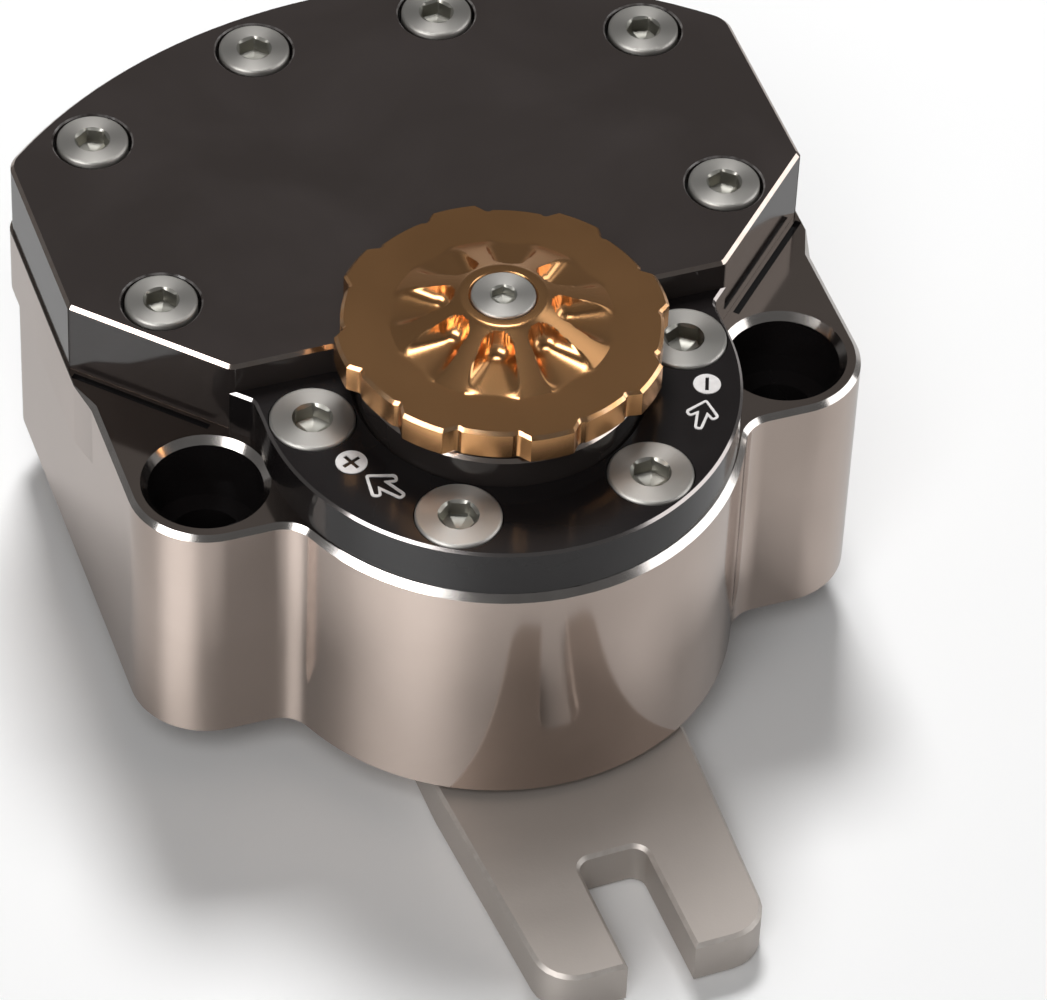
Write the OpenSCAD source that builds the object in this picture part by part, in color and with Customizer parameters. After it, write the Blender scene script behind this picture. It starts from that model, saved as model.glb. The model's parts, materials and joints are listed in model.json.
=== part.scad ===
// Rotary steering damper. A vane swings in a fan-shaped oil chamber and drives a forked link arm,
// and a knob over the rotor screws a needle valve in and out to set how hard the oil is held back.
// The origin is on the rotor axis in the mounting face, midway between the two ear bolts.
// +Z is up along the rotor axis, and the nose and the link arm point towards -Y.

/* [Housing] */
// Height from the mounting face to the top of the ears
housing_h = 33; // [31:0.5:38]
// Distance between the two ear bolts
ear_spacing = 71; // [71:0.5:80]
// Radius of the ears round their bolts
ear_r = 9.2; // [9:0.1:11]
// Clearance hole for an ear bolt
ear_hole_d = 8.5; // [8:0.1:9]
// Diameter of the sunk seat for the head of an ear bolt
ear_seat_d = 13.4; // [12.4:0.1:13.6]
// Depth of that seat
ear_seat_depth = 9; // [6:0.5:14]
// Radius of the curved back
fan_r = 66; // [65:0.5:72]
// Radius of the two rear corners
fan_corner_r = 3.5; // [2:0.5:8]
// Height of the flange that carries the cover
flange_h = 9.4; // [6:0.2:14]
// How far the flange stands out of the walls
flange_out = 1; // [0.8:0.1:2.5]
// Thickness of the floor under the oil chamber
floor_t = 11; // [10:0.5:13]

/* [Oil chamber and rotor] */
// Wall between the chamber and the curved back
back_wall = 14; // [13.5:0.5:20]
// Swing of the vane to each side of the middle
swing = 38; // [25:1:40]
// Turn of the vane and the arm from the middle at rest
rest_turn = 2; // [0:0.5:6]
// Thickness of the vane
vane_t = 7; // [5:0.5:9]
// Radius of the vane's hub
hub_r = 12.5; // [12:0.1:12.8]
// Radius of the rotor shaft in the hub and the lower bush
shaft_r = 9; // [8.6:0.1:9.4]
// Radius of the shaft's upper journal
journal_r = 8; // [7.4:0.1:8.4]

/* [Cover and nose plate] */
// Thickness of the cover
cover_t = 10; // [9.5:0.1:13]
// How far the cover stands out of the walls
cover_out = 0.7; // [0.2:0.1:0.8]
// Where the straight sides of the cover end, measured from the rotor axis
cover_side_y = 22.4; // [20:0.2:26]
// Front edge of the cover, measured from the rotor axis
cover_front_y = 7.2; // [6.6:0.1:8]
// Thickness of the nose plate
plate_t = 6.3; // [5.5:0.1:7.5]
// Radius of the nose plate
plate_r = 28.2; // [27.2:0.1:28.2]
// How far the housing's nose stands out of the nose plate
plate_step = 0.8; // [0.4:0.1:2]

/* [Screws] */
// Head radius of the cover screws
cover_head_r = 4.25; // [4:0.05:4.6]
// Thread radius of the cover screws
cover_screw_r = 2.5; // [2:0.1:2.8]
// Head radius of the nose plate screws
plate_head_r = 5; // [4.6:0.1:5.1]
// Thread radius of the nose plate screws
plate_screw_r = 3; // [2.5:0.1:3]
// Thread engagement of both
screw_grip = 11; // [8:0.5:14]

/* [Knob] */
// Radius over the lands of the grip
knob_r = 19.5; // [18.5:0.1:23]
// Depth of the finger recesses between the lands
grip_depth = 0.9; // [0.5:0.1:1.5]
// Thickness of the rim
knob_t = 4; // [3.5:0.1:6]
// Gap between the cover's neck and the knob
knob_gap = 2; // [1.5:0.1:3]
// Radius of the raised middle
cone_r = 13; // [12:0.1:14.5]
// Height of the middle above the rim
cone_h = 3.8; // [2.5:0.1:5]
// Turn of the knob to each side of its rest position
knob_turn = 135; // [60:5:150]
// Travel of the needle in one turn of the knob
needle_pitch = 1; // [0.5:0.1:1]

/* [Link arm] */
// Distance from the rotor axis to the arm's tip
arm_reach = 56.2; // [48:0.2:70]
// Thickness of the arm
arm_t = 6.2; // [5.6:0.1:9]
// Half width of the arm at its tip
arm_tip_half = 13.8; // [12:0.2:15]
// Half width of the arm where it comes out from under the nose
arm_root_half = 15.6; // [13:0.2:18]
// Width of the fork's slot
fork_w = 8.4; // [6:0.2:12]
// Distance from the rotor axis to the closed end of the slot
fork_end = 39.5; // [32:0.5:42]
// Gap between the arm and the mounting face
arm_gap = 1; // [0.6:0.1:3]

/* [Fits] */
// Gap of a running fit, on the radius
run_gap = 0.05; // [0.02:0.01:0.1]
// Gap between pieces that are bolted or dropped together
seat_gap = 0.1; // [0.05:0.01:0.15]
// Gap at the moving edges of the vane's seal
vane_gap = 0.1; // [0.05:0.01:0.2]

/* [Hidden] */
$fn = 96;
eps = 0.01;

titanium = [0.62, 0.58, 0.55];
black_metal = [0.12, 0.11, 0.11];
bronze = [0.40, 0.28, 0.17];
steel = [0.78, 0.77, 0.74];
arm_metal = [0.60, 0.56, 0.52];
bush_metal = [0.72, 0.55, 0.30];
rubber_black = [0.06, 0.06, 0.06];
mark_white = [0.85, 0.84, 0.82];

// Levels, from the mounting face up
z_seat = housing_h;
z_plate = z_seat + plate_t;
z_top = z_seat + cover_t;
z_knob = z_top + knob_gap;
z_rim = z_knob + knob_t;
z_hub = z_rim + cone_h;
z_arm = -arm_gap;

// Plan of the housing and the cover
chamber_r = fan_r - back_wall;
ear_x = ear_spacing / 2;
half_w = ear_x + ear_r;
nose_r = plate_r + plate_step;
nose_blend_r = 4;
cover_w = half_w + cover_out;
flange_w = half_w + flange_out;
flange_front_y = cover_side_y - 3;
flange_run = 4;
cover_front_x = cover_w - (cover_side_y - cover_front_y);
ear_chamfer = 0.55;
// Drain groove in the ears along the foot of the cover's slanted walls
groove_gap = 0.5;
groove_w = 0.8;
groove_depth = 0.6;
groove_end = 2.5;

// Cover screws: two on each side, two at the back, all the same step apart in X
screw_edge = 6.2;
screw_circle_r = fan_r - screw_edge;
screw_x = half_w - 9.9;
screw_back_x = screw_x / 3;
cover_screw_at = [
    [screw_x, cover_side_y - 2.4],
    [screw_x, sqrt(pow(screw_circle_r, 2) - pow(screw_x, 2))],
    [screw_back_x, sqrt(pow(screw_circle_r, 2) - pow(screw_back_x, 2))]
];
dowel_r = 2;
dowel_half = 6;
dowel_x = (screw_x + screw_back_x) / 2;
dowel_at = [dowel_x, sqrt(pow(screw_circle_r, 2) - pow(dowel_x, 2))];
head_sink = 2.6;
head_proud = 0.35;
cover_sink_r = cover_head_r + 0.45;
plate_sink_r = plate_head_r + 0.15;
hole_gap = 0.25;
thread_gap = 0.05;

// Nose plate: four screws on a circle round the neck
plate_screw_circle = plate_r - plate_head_r - 0.5;
plate_screw_angles = [90, 30.6];
plate_wing_y = cover_front_y - seat_gap;
plate_wing_w = 2.3;
neck_r = plate_screw_circle - plate_head_r - 0.7;
neck_foot_r = neck_r + 1.2;
neck_foot_t = 3;
neck_blend_r = 2;

// Chamber seal
seal_inset = 1.2;
seal_w = 1.6;
seal_depth = 1.3;
wall_margin = 0.4;
stop_margin = 1;

// Rotor
rotor_h = z_seat - floor_t;
washer_t = 0.5;
hub_z0 = floor_t + washer_t + 2 * run_gap;
hub_z1 = z_seat - washer_t - 2 * run_gap;
vane_seal_t = 2;
vane_seal_depth = 1.6;
vane_seal_lip = 0.5;
vane_r = chamber_r - vane_gap - vane_seal_lip;
vane_key_h = hub_z1 - hub_z0 - 4;
upper_bush_h = 3.2;
shaft_top = z_seat + upper_bush_h;
shaft_end_gap = 0.3;
bush_wall = 2;
lip_seal_z = 1.3;
lip_seal_h = 4.1;
lip_seal_r = shaft_r + 5;
lower_bush_z = lip_seal_z + lip_seal_h + seat_gap;
circlip_t = 1;
arm_seat_r = shaft_r - 1.5;
arm_seat_t = 3;
arm_recess_r = arm_seat_r + 2.4;
arm_hub_r = 16;
arm_root_y = 24;
arm_root_corner_r = 12;
arm_tip_corner_r = 5;
fork_corner_r = 1.8;
key_w = 4;
key_end = 2;
arm_bolt_r = 3;
arm_bolt_head_r = 5.4;
arm_bolt_head_h = 2.2;
arm_bolt_grip = 9;
arm_washer_t = 0.9;
z_arm_seat = z_arm - arm_seat_t;
port_r = 1.2;
port_angle = 24;

// Valve
needle_thread_r = 4.25;
needle_bore_r = needle_thread_r + 0.35;
needle_travel = needle_pitch * knob_turn / 360;
needle_hex_r = 2.8;
needle_stem_r = 2.4;
jet_z = floor_t + 1;
jet_h = 6;
jet_hole_r = 1.1;
jet_mouth_r = needle_stem_r + 0.5;
jet_mouth_h = 2.5;
jet_foot_h = 2.9;
needle_tip_r = jet_hole_r - 0.25;
needle_tip_h = (needle_stem_r - needle_tip_r) * jet_mouth_h / (jet_mouth_r - jet_hole_r);
needle_tip_z = jet_z + jet_h - jet_mouth_h + 0.15 + needle_travel;
port_z = jet_z + jet_h + 3.5;
jet_port_z = 1.5;
gland_t = 1.8;
gland_r = 9;
collar_r = 7;
collar_h = 2.1;
spindle_r = 4.5;
drive_w = 6.2;
collar_z = z_top - gland_t - collar_h - seat_gap;
needle_top_z = collar_z - needle_travel - 0.2;
hex_h = 3;
web_z = shaft_top + shaft_end_gap;
needle_thread_z = web_z - 0.8;
drive_h = 3;
knob_bolt_r = 2;
knob_bolt_head_r = 3.75;
knob_bolt_head_h = 1.6;
knob_bolt_end_z = z_knob - 1.2;

// Detents and end stop under the knob
detent_r = 11.2;
detent_angles = [60, 240];
plunger_r = 1.5;
detents = 24;
detent_dip = 0.4;
detent_pocket = 4.5;
spring_h = 2.2;
stop_pin_r = 1.25;
stop_pin_sink = 5;
stop_path_r = 14.6;
stop_slot_h = 1.6;

// Grip of the knob
lands = 8;
land_angle = 15;
land_turn = -1.5;
// Scooped pockets: a round end towards the hub, a flat floor that runs out of the cone's flank
pocket_r0 = 8.1;
pocket_end_r = 1.9;
pocket_wide = 3.2;
pocket_floor = 1.1;
hub_edge = 0.4;

// Marks beside the knob's neck
mark_t = 0.12;
mark_r = 1.7;
mark_stroke = 0.45;
arrow_half = 2.2;
arrow_wide = 1.5;
arrow_stem = 0.55;
arrow_neck = 0.2;
plus_at = [plate_screw_circle - 0.7, -69];
plus_arrow_at = [plate_screw_circle - 1, -55.5];
minus_at = [plate_screw_circle + 1.3, 71];
minus_arrow_at = [plate_screw_circle + 1.2, 59.6];
arrow_turn = 31;
arrow_line = 0.35;
plus_scale = 1.08;
minus_scale = 0.95;

// Points along an outline whose corners are [x, y, radius]
function unit2(v) = v / norm(v);
function corner_arc(p, v, q, r, n) =
    let(
        a = unit2([p[0] - v[0], p[1] - v[1]]),
        b = unit2([q[0] - v[0], q[1] - v[1]]),
        half = acos(a * b) / 2,
        mid = unit2(a + b),
        c = [v[0], v[1]] + mid * r / sin(half),
        s = [v[0], v[1]] + a * r / tan(half) - c,
        e = [v[0], v[1]] + b * r / tan(half) - c,
        a0 = atan2(s[1], s[0]),
        turn = (atan2(e[1], e[0]) - a0 + 540) % 360 - 180
    )
    [for (i = [0:n]) c + r * [cos(a0 + turn * i / n), sin(a0 + turn * i / n)]];
function round_outline(pts, n = 6) =
    let(m = len(pts))
    [for (i = [0:m - 1])
        each pts[i][2] == 0
            ? [[pts[i][0], pts[i][1]]]
            : corner_arc(pts[(i + m - 1) % m], pts[i], pts[(i + 1) % m], pts[i][2], n)];

module both_sides() {
    children();
    mirror([1, 0, 0]) children();
}

module ring(r_out, r_in, h) {
    difference() {
        cylinder(r = r_out, h = h);
        translate([0, 0, -1]) cylinder(r = r_in, h = h + 2);
    }
}

// A wedge of the plane, open towards +Y
module wedge(half_angle, reach) {
    polygon([
        [0, 0],
        [-reach * tan(half_angle), reach],
        [reach * tan(half_angle), reach]
    ]);
}

// Curved back with its two rounded corners, down to the line y = y0
module fan_plan(w, r, corner_r, y0) {
    corner_x = w - corner_r;
    corner_y = sqrt(pow(r - corner_r, 2) - pow(corner_x, 2));
    intersection() {
        circle(r = r, $fn = 180);
        wedge(atan2(corner_x, corner_y), r + 10);
    }
    both_sides() translate([corner_x, corner_y]) circle(r = corner_r);
    translate([-w, y0]) square([2 * w, corner_y - y0]);
}

module nose_fillet() {
    fx = sqrt(pow(nose_r + nose_blend_r, 2) - pow(ear_r + nose_blend_r, 2));
    fy = -ear_r - nose_blend_r;
    k = nose_r / (nose_r + nose_blend_r);
    difference() {
        polygon([
            [fx, -ear_r + 1],
            [fx, fy],
            [fx * k, fy * k],
            [fx * k - 1, -ear_r + 1]
        ]);
        translate([fx, fy]) circle(r = nose_blend_r);
    }
}

module housing_plan() {
    fan_plan(half_w, fan_r, fan_corner_r, 0);
    both_sides() translate([ear_x, 0]) circle(r = ear_r);
    translate([-ear_x, -ear_r]) square([2 * ear_x, ear_r + 1]);
    circle(r = nose_r);
    both_sides() nose_fillet();
}

module flange_plan() {
    fan_plan(flange_w, fan_r + flange_out - cover_out, fan_corner_r, flange_front_y);
    both_sides() polygon([
        [0, flange_front_y + 1],
        [flange_w, flange_front_y + 1],
        [flange_w, flange_front_y],
        [half_w, flange_front_y - flange_run],
        [0, flange_front_y - flange_run]
    ]);
}

// Chamber that the vane sweeps, grown evenly by a margin
module chamber_plan(grow) {
    reach = chamber_r + grow;
    end_angle = swing + stop_margin;
    bar = vane_t / 2 + wall_margin + grow;
    intersection() {
        circle(r = reach, $fn = 180);
        union() {
            wedge(end_angle, reach + 10);
            both_sides() rotate(-end_angle)
                translate([-bar, 0]) square([2 * bar, reach + 10]);
        }
    }
    circle(r = hub_r + seat_gap + grow);
}

module cover_front_plan() {
    polygon(round_outline([
        [-cover_w, cover_side_y + 1, 0],
        [-cover_w, cover_side_y, 0.8],
        [-cover_front_x, cover_front_y, 1.5],
        [cover_front_x, cover_front_y, 1.5],
        [cover_w, cover_side_y, 0.8],
        [cover_w, cover_side_y + 1, 0]
    ]));
}

// Inside corner where the neck runs into the cover's front edge
module neck_fillet() {
    fy = cover_front_y - neck_blend_r;
    fx = sqrt(pow(neck_r + neck_blend_r, 2) - pow(fy, 2));
    k = neck_r / (neck_r + neck_blend_r);
    difference() {
        polygon([
            [fx, cover_front_y + 1],
            [fx, fy],
            [fx * k, fy * k],
            [fx * k - 2, cover_front_y + 1]
        ]);
        translate([fx, fy]) circle(r = neck_blend_r);
    }
}

module cover_plan() {
    fan_plan(cover_w, fan_r, fan_corner_r, cover_side_y);
    cover_front_plan();
    circle(r = neck_r);
    both_sides() neck_fillet();
}

// The plate's sides run back from the arc and flare into a small wing at the cover's front edge
module plate_plan() {
    side_x = plate_r - 0.05;
    wing_x = plate_r + plate_wing_w;
    intersection() {
        circle(r = plate_r);
        translate([-plate_r - 1, -plate_r - 1]) square([2 * plate_r + 2, plate_r + 1 + plate_wing_y]);
    }
    polygon(round_outline([
        [-side_x, 0, 0],
        [side_x, 0, 0],
        [plate_r, plate_wing_y - plate_wing_w, 1.5],
        [wing_x, plate_wing_y, 0],
        [-wing_x, plate_wing_y, 0],
        [-plate_r, plate_wing_y - plate_wing_w, 1.5]
    ]));
}

module at_cover_screws() {
    both_sides() for (p = cover_screw_at) translate(p) children();
}

module at_plate_screws() {
    both_sides() for (a = plate_screw_angles)
        translate(plate_screw_circle * [sin(a), -cos(a)]) children();
}

// Rest position of everything that swings with the rotor
module rotor_pose() {
    rotate([0, 0, rest_turn]) children();
}

module hex_socket(r, depth) {
    translate([0, 0, -depth]) cylinder(r = r, h = depth + 1, $fn = 6);
}

// Low-head socket screw, its head standing on z = 0
module socket_screw(head_r, head_h, thread_r, length, socket_r) {
    difference() {
        union() {
            rotate_extrude() polygon([
                [0, 0],
                [head_r, 0],
                [head_r, head_h - 0.3],
                [head_r - 0.3, head_h],
                [0, head_h]
            ]);
            translate([0, 0, -length]) cylinder(r = thread_r, h = length + eps);
        }
        translate([0, 0, head_h]) hex_socket(socket_r, head_h * 0.7);
    }
}

module housing() {
    color(titanium) difference() {
        union() {
            linear_extrude(housing_h) housing_plan();
            translate([0, 0, housing_h - flange_h]) linear_extrude(flange_h) flange_plan();
        }
        translate([0, 0, floor_t]) linear_extrude(rotor_h + 1) chamber_plan(0);
        translate([0, 0, z_seat - seal_depth]) linear_extrude(seal_depth + 1) difference() {
            chamber_plan(seal_inset + seal_w);
            chamber_plan(seal_inset);
        }
        both_sides() translate([ear_x, 0, 0]) {
            translate([0, 0, -1]) cylinder(d = ear_hole_d, h = housing_h + 2);
            translate([0, 0, z_seat - ear_seat_depth]) cylinder(d = ear_seat_d, h = housing_h);
            translate([0, 0, z_seat - ear_chamfer])
                cylinder(r1 = ear_seat_d / 2, r2 = ear_seat_d / 2 + ear_chamfer + eps, h = ear_chamfer + eps);
        }
        both_sides() drain_groove();
        at_cover_screws() translate([0, 0, z_seat - screw_grip - 1])
            cylinder(r = cover_screw_r + thread_gap, h = screw_grip + 2);
        at_plate_screws() translate([0, 0, z_seat - screw_grip - 1])
            cylinder(r = plate_screw_r + thread_gap, h = screw_grip + 2);
        dowel_holes(z_seat - dowel_half);
        translate([0, 0, -1]) cylinder(r = lip_seal_r + seat_gap, h = lip_seal_z + lip_seal_h + 1);
        translate([0, 0, lip_seal_z - circlip_t - seat_gap])
            cylinder(r = lip_seal_r + 0.8, h = circlip_t + seat_gap);
        translate([0, 0, lower_bush_z - 1]) cylinder(r = shaft_r + bush_wall + seat_gap, h = floor_t);
        at_fill_screws() {
            translate([0, 0, -1]) cylinder(r = fill_r + thread_gap, h = floor_t + 2);
            translate([0, 0, -1]) cylinder(r = fill_head_r + 0.4, h = fill_sink + 1);
        }
    }
}

module drain_groove() {
    slant = (cover_side_y - cover_front_y) * sqrt(2);
    translate([cover_front_x, cover_front_y, z_seat - groove_depth]) rotate([0, 0, 45])
        translate([groove_end, -groove_gap - groove_w, 0]) cube([slant - groove_end - 1, groove_w, 5]);
}

module dowel_holes(z0) {
    both_sides() translate([dowel_at[0], dowel_at[1], z0 - 0.5])
        cylinder(r = dowel_r + seat_gap / 2, h = 2 * dowel_half + 1);
}

module dowel_pins() {
    color(steel) both_sides() translate([dowel_at[0], dowel_at[1], z_seat - dowel_half])
        cylinder(r = dowel_r, h = 2 * dowel_half);
}

module top_cover() {
    color(titanium) difference() {
        union() {
            translate([0, 0, z_seat]) linear_extrude(cover_t) cover_plan();
            translate([0, 0, z_seat]) cylinder(r = neck_foot_r, h = neck_foot_t);
        }
        at_cover_screws() {
            translate([0, 0, z_seat - 1]) cylinder(r = cover_screw_r + hole_gap, h = cover_t + 2);
            translate([0, 0, z_top - head_sink]) cylinder(r = cover_sink_r, h = head_sink + 1);
        }
        dowel_holes(z_seat - dowel_half);
        translate([0, 0, z_seat - 1]) cylinder(r = journal_r + bush_wall + seat_gap, h = web_z - z_seat + 1);
        translate([0, 0, z_seat - 1]) cylinder(r = needle_thread_r + run_gap, h = cover_t + 2);
        translate([0, 0, collar_z - seat_gap]) cylinder(r = collar_r + seat_gap, h = cover_t);
        translate([0, 0, z_top - gland_t]) cylinder(r = gland_r + thread_gap, h = gland_t + 1);
        at_detents() translate([0, 0, z_top - detent_pocket])
            cylinder(r = plunger_r + run_gap, h = detent_pocket + 1);
        translate([0, stop_path_r, z_top - stop_pin_sink])
            cylinder(r = stop_pin_r + thread_gap, h = stop_pin_sink + 1);
    }
}

module at_detents() {
    for (a = detent_angles) rotate([0, 0, a]) translate([detent_r, 0, 0]) children();
}

module nose_plate() {
    color(black_metal) difference() {
        translate([0, 0, z_seat]) linear_extrude(plate_t) plate_plan();
        translate([0, 0, z_seat - 1]) cylinder(r = neck_r + seat_gap, h = plate_t + 2);
        translate([0, 0, z_seat - 1]) cylinder(r = neck_foot_r + seat_gap, h = neck_foot_t + seat_gap + 1);
        translate([0, 0, z_seat - 1]) linear_extrude(plate_t + 2) both_sides() neck_relief();
        at_plate_screws() {
            translate([0, 0, z_seat - 1]) cylinder(r = plate_screw_r + hole_gap, h = plate_t + 2);
            translate([0, 0, z_plate - head_sink]) cylinder(r = plate_sink_r, h = head_sink + 1);
        }
    }
}

// Room in the plate for the cover's inside corner beside the neck
module neck_relief() {
    fy = cover_front_y - neck_blend_r;
    fx = sqrt(pow(neck_r + neck_blend_r, 2) - pow(fy, 2));
    k = neck_r / (neck_r + neck_blend_r);
    difference() {
        polygon([
            [fx, cover_front_y + 1],
            [fx, fy],
            [fx * k, fy * k],
            [fx * k - 2, fy * k],
            [fx * k - 2, cover_front_y + 1]
        ]);
        translate([fx, fy]) circle(r = neck_blend_r - seat_gap);
    }
}

module cover_screws() {
    color(steel) at_cover_screws() translate([0, 0, z_top - head_sink])
        socket_screw(cover_head_r, head_sink + head_proud, cover_screw_r,
            cover_t - head_sink + screw_grip, 1.75);
}

module plate_screws() {
    color(steel) at_plate_screws() translate([0, 0, z_plate - head_sink])
        socket_screw(plate_head_r, head_sink + head_proud, plate_screw_r,
            plate_t - head_sink + screw_grip, 2.3);
}

module arrow_plan(grow) {
    polygon([
        [-arrow_stem - grow, -arrow_half - grow],
        [arrow_stem + grow, -arrow_half - grow],
        [arrow_stem + grow, arrow_neck - grow],
        [arrow_wide + 2 * grow, arrow_neck - grow],
        [0, arrow_half + 2 * grow],
        [-arrow_wide - 2 * grow, arrow_neck - grow],
        [-arrow_stem - grow, arrow_neck - grow]
    ]);
}

// A place on the nose plate, as [radius, angle from the nose]
module at_mark(place) {
    translate(place[0] * [sin(place[1]), -cos(place[1])]) children();
}

module mark_dash() {
    square([mark_r * 1.3, mark_stroke], center = true);
}

module mark_arrow() {
    difference() {
        arrow_plan(arrow_line);
        arrow_plan(0);
    }
}

// Plus and minus discs and the arrows that show which way the knob turns
module plate_marks() {
    color(mark_white) translate([0, 0, z_plate]) linear_extrude(mark_t) {
        at_mark(plus_at) scale(plus_scale) rotate(23) difference() {
            circle(r = mark_r);
            mark_dash();
            rotate(90) mark_dash();
        }
        at_mark(minus_at) scale(minus_scale) rotate(69) difference() {
            circle(r = mark_r);
            mark_dash();
        }
        at_mark(plus_arrow_at) scale(plus_scale) rotate(arrow_turn) mark_arrow();
        at_mark(minus_arrow_at) scale(minus_scale) rotate(-arrow_turn) mark_arrow();
    }
}

module cover_seal() {
    color(rubber_black) translate([0, 0, z_seat - seal_depth]) linear_extrude(seal_depth) difference() {
        chamber_plan(seal_inset + seal_w - seat_gap / 2);
        chamber_plan(seal_inset + seat_gap / 2);
    }
}

module lower_bush() {
    color(bush_metal) translate([0, 0, lower_bush_z])
        ring(shaft_r + bush_wall, shaft_r + run_gap, floor_t - lower_bush_z);
}

module upper_bush() {
    color(bush_metal) translate([0, 0, z_seat])
        ring(journal_r + bush_wall, journal_r + run_gap, upper_bush_h);
}

module shaft_seal() {
    color(rubber_black) translate([0, 0, lip_seal_z]) ring(lip_seal_r, shaft_r + run_gap, lip_seal_h);
}

module seal_circlip() {
    color(steel) translate([0, 0, lip_seal_z - circlip_t]) difference() {
        ring(lip_seal_r + 0.7, lip_seal_r - 1.6, circlip_t - seat_gap / 2);
        translate([-3, 0, -1]) cube([6, lip_seal_r + 2, circlip_t + 2]);
    }
}

module thrust_washers() {
    color(bush_metal) for (z = [floor_t + run_gap, z_seat - washer_t - run_gap])
        translate([0, 0, z]) ring(hub_r - 0.5, shaft_r + 0.2, washer_t);
}

module gland_ring() {
    color(steel) translate([0, 0, z_top - gland_t]) ring(gland_r, spindle_r + run_gap, gland_t - seat_gap);
}

module stop_pin() {
    color(steel) translate([0, stop_path_r, z_top - stop_pin_sink])
        cylinder(r = stop_pin_r, h = stop_pin_sink + knob_gap + 1);
}

module detent_plungers() {
    z0 = z_top - detent_pocket + spring_h;
    dome_z = z_knob - seat_gap - plunger_r;
    color(steel) at_detents() {
        translate([0, 0, z0]) cylinder(r = plunger_r, h = dome_z - z0);
        translate([0, 0, dome_z]) sphere(r = plunger_r);
    }
}

module detent_springs() {
    color(steel) at_detents() translate([0, 0, z_top - detent_pocket])
        cylinder(r = plunger_r - 0.2, h = spring_h);
}

// Filler and bleeder under the housing, either side of the middle
fill_x = 20;
fill_y = 40;
fill_r = 2.5;
fill_head_r = 4.4;
fill_sink = 4;
fill_seal_t = 0.8;

module at_fill_screws() {
    both_sides() translate([fill_x, fill_y, 0]) children();
}

module fill_screws() {
    color(steel) at_fill_screws() translate([0, 0, fill_sink - fill_seal_t]) mirror([0, 0, 1])
        socket_screw(fill_head_r, fill_sink - fill_seal_t - 0.4, fill_r, floor_t - fill_sink, 2);
}

module fill_seals() {
    color(bush_metal) at_fill_screws() translate([0, 0, fill_sink - fill_seal_t])
        ring(fill_head_r + 0.2, fill_r + run_gap, fill_seal_t);
}

module rotor_ports() {
    for (side = [[-1, port_z], [1, jet_z + jet_port_z]])
        rotate([0, 0, side[0] * port_angle]) translate([0, 0, side[1]])
            rotate([-90, 0, 0]) cylinder(r = port_r, h = hub_r + 5);
}

module rotor_shaft() {
    color(steel) rotor_pose() difference() {
        union() {
            translate([0, 0, z_arm_seat]) cylinder(r = arm_seat_r, h = arm_seat_t + 1);
            translate([0, 0, z_arm]) cylinder(r = shaft_r, h = z_seat - z_arm);
            cylinder(r = journal_r, h = shaft_top);
        }
        translate([0, 0, jet_z]) cylinder(r = needle_bore_r, h = housing_h);
        translate([0, 0, z_arm_seat - 1]) cylinder(r = arm_bolt_r + thread_gap, h = arm_bolt_grip + 2);
        translate([-key_w / 2, shaft_r - key_w / 2, hub_z0 + key_end]) cube([key_w, key_w, vane_key_h]);
        translate([-key_w / 2, arm_seat_r - key_w / 2, z_arm_seat - 1]) cube([key_w, key_w, arm_seat_t + 1]);
        rotor_ports();
    }
}

module vane_blank(r, z0, z1, t) {
    intersection() {
        translate([0, 0, z0]) cylinder(r = r, h = z1 - z0, $fn = 180);
        translate([-t / 2, 0, z0]) cube([t, r + 1, z1 - z0]);
    }
}

module vane_seal_space(gap) {
    difference() {
        vane_blank(vane_r + vane_seal_lip, floor_t + vane_gap, z_seat - vane_gap, vane_seal_t + 2 * gap);
        vane_blank(vane_r - vane_seal_depth, hub_z0 + vane_seal_depth, hub_z1 - vane_seal_depth, vane_t);
        cylinder(r = hub_r + 1.5, h = z_top);
    }
}

module vane() {
    color(steel) rotor_pose() difference() {
        union() {
            translate([0, 0, hub_z0]) cylinder(r = hub_r, h = hub_z1 - hub_z0);
            vane_blank(vane_r, hub_z0, hub_z1, vane_t);
        }
        vane_seal_space(seat_gap);
        cylinder(r = shaft_r + run_gap, h = z_top);
        translate([-key_w / 2, 0, hub_z0 - 1]) cube([key_w, shaft_r + key_w / 2 + seat_gap, rotor_h + 2]);
        rotor_ports();
    }
}

module vane_key() {
    color(steel) rotor_pose()
        translate([-key_w / 2 + run_gap, shaft_r - key_w / 2 + run_gap, hub_z0 + key_end + run_gap])
            cube([key_w - 2 * run_gap, key_w - run_gap, vane_key_h - 2 * run_gap]);
}

module vane_seal() {
    color(mark_white) rotor_pose() vane_seal_space(0);
}

module valve_jet() {
    color(bush_metal) rotor_pose() translate([0, 0, jet_z]) difference() {
        cylinder(r = needle_bore_r - run_gap, h = jet_h);
        translate([0, 0, -1]) cylinder(r = jet_hole_r, h = jet_h + 2);
        translate([0, 0, jet_h - jet_mouth_h])
            cylinder(r1 = jet_hole_r, r2 = jet_mouth_r, h = jet_mouth_h + eps);
        translate([0, 0, -1]) cylinder(r = jet_mouth_r, h = jet_foot_h + 1);
        rotate([0, 0, port_angle]) translate([0, 0, jet_port_z])
            rotate([-90, 0, 0]) cylinder(r = port_r, h = hub_r);
    }
}

module arm_plan() {
    circle(r = arm_hub_r);
    difference() {
        polygon(round_outline([
            [-arm_root_half, 0, 0],
            [-arm_root_half, -arm_root_y, arm_root_corner_r],
            [-arm_tip_half, -arm_reach, arm_tip_corner_r],
            [arm_tip_half, -arm_reach, arm_tip_corner_r],
            [arm_root_half, -arm_root_y, arm_root_corner_r],
            [arm_root_half, 0, 0]
        ]));
        fork_slot_plan();
    }
}

module fork_slot_plan() {
    polygon(round_outline([
        [-fork_w / 2, -fork_end, fork_corner_r],
        [-fork_w / 2, -arm_reach - 5, 0],
        [fork_w / 2, -arm_reach - 5, 0],
        [fork_w / 2, -fork_end, fork_corner_r]
    ]));
}

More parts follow.
